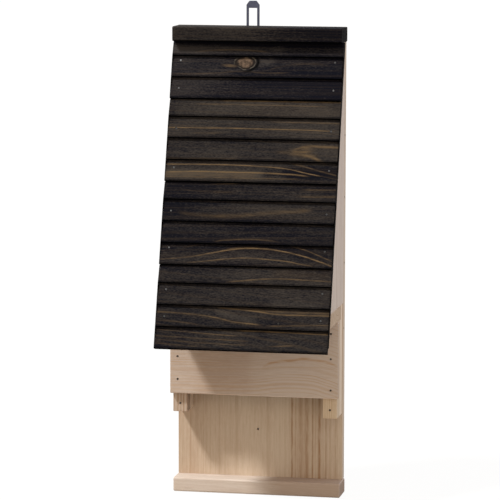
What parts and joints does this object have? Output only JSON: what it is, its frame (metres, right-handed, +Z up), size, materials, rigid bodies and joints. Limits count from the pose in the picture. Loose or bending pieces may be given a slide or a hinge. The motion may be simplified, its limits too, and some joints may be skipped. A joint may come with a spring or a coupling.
{
  "type": "bat box",
  "caption": "Wall-hung wooden bat box with a sloping stained shield of stepped cladding, an open landing panel below, an entry slit between legs, a bottom rail and a steel hanger eye.",
  "frame": {"origin": "middle of the back panel's rear face, which lies against the wall", "axes": "+X to the viewer's right seen from the front, +Y into the wall, +Z up"},
  "size_m": [0.213, 0.1462, 0.6119],
  "materials": {
    "natural_pine": "planed, bare",
    "stained_pine": "dark brown stain, satin",
    "hanger_steel": "dull blue-grey",
    "nail_steel": "dark, weathered"
  },
  "bodies": {
    "root": {"back_panel": "natural_pine", "bottom_rail": "natural_pine", "cap_board": "stained_pine", "chamber_floor": "natural_pine", "cheek_left": "natural_pine", "cheek_right": "natural_pine", "leg_strip_rear_left": "natural_pine", "leg_strip_front_left": "natural_pine", "leg_strip_rear_right": "natural_pine", "leg_strip_front_right": "natural_pine", "front_board": "natural_pine", "cladding_board_1": "stained_pine", "cladding_board_2": "stained_pine", "cladding_board_3": "stained_pine", "cladding_board_4": "stained_pine", "hanger_plate": "hanger_steel", "hanger_screw_1": "hanger_steel", "hanger_screw_2": "hanger_steel", "floor_nail": "nail_steel", "cladding_nail_1_1_left": "nail_steel", "cladding_nail_1_1_right": "nail_steel", "cladding_nail_1_2_left": "nail_steel", "cladding_nail_1_2_right": "nail_steel", "cladding_nail_2_1_left": "nail_steel", "cladding_nail_2_1_right": "nail_steel", "cladding_nail_2_2_left": "nail_steel", "cladding_nail_2_2_right": "nail_steel", "cladding_nail_3_1_left": "nail_steel", "cladding_nail_3_1_right": "nail_steel", "cladding_nail_3_2_left": "nail_steel", "cladding_nail_3_2_right": "nail_steel", "cladding_nail_4_1_left": "nail_steel", "cladding_nail_4_1_right": "nail_steel", "cladding_nail_4_2_left": "nail_steel", "cladding_nail_4_2_right": "nail_steel", "front_nail_1_left": "nail_steel", "front_nail_2_left": "nail_steel", "front_nail_3_left": "nail_steel", "front_nail_1_right": "nail_steel", "front_nail_2_right": "nail_steel", "front_nail_3_right": "nail_steel", "leg_nail_left": "nail_steel", "leg_nail_right": "nail_steel", "side_nail_1_left": "nail_steel", "side_nail_2_left": "nail_steel", "side_nail_3_left": "nail_steel", "side_nail_4_left": "nail_steel", "side_nail_1_right": "nail_steel", "side_nail_2_right": "nail_steel", "side_nail_3_right": "nail_steel", "side_nail_4_right": "nail_steel", "cap_nail_1": "nail_steel", "cap_nail_2": "nail_steel", "cap_nail_3": "nail_steel", "rail_nail_1": "nail_steel", "rail_nail_2": "nail_steel", "rail_nail_3": "nail_steel"}
  },
  "joints": []
}
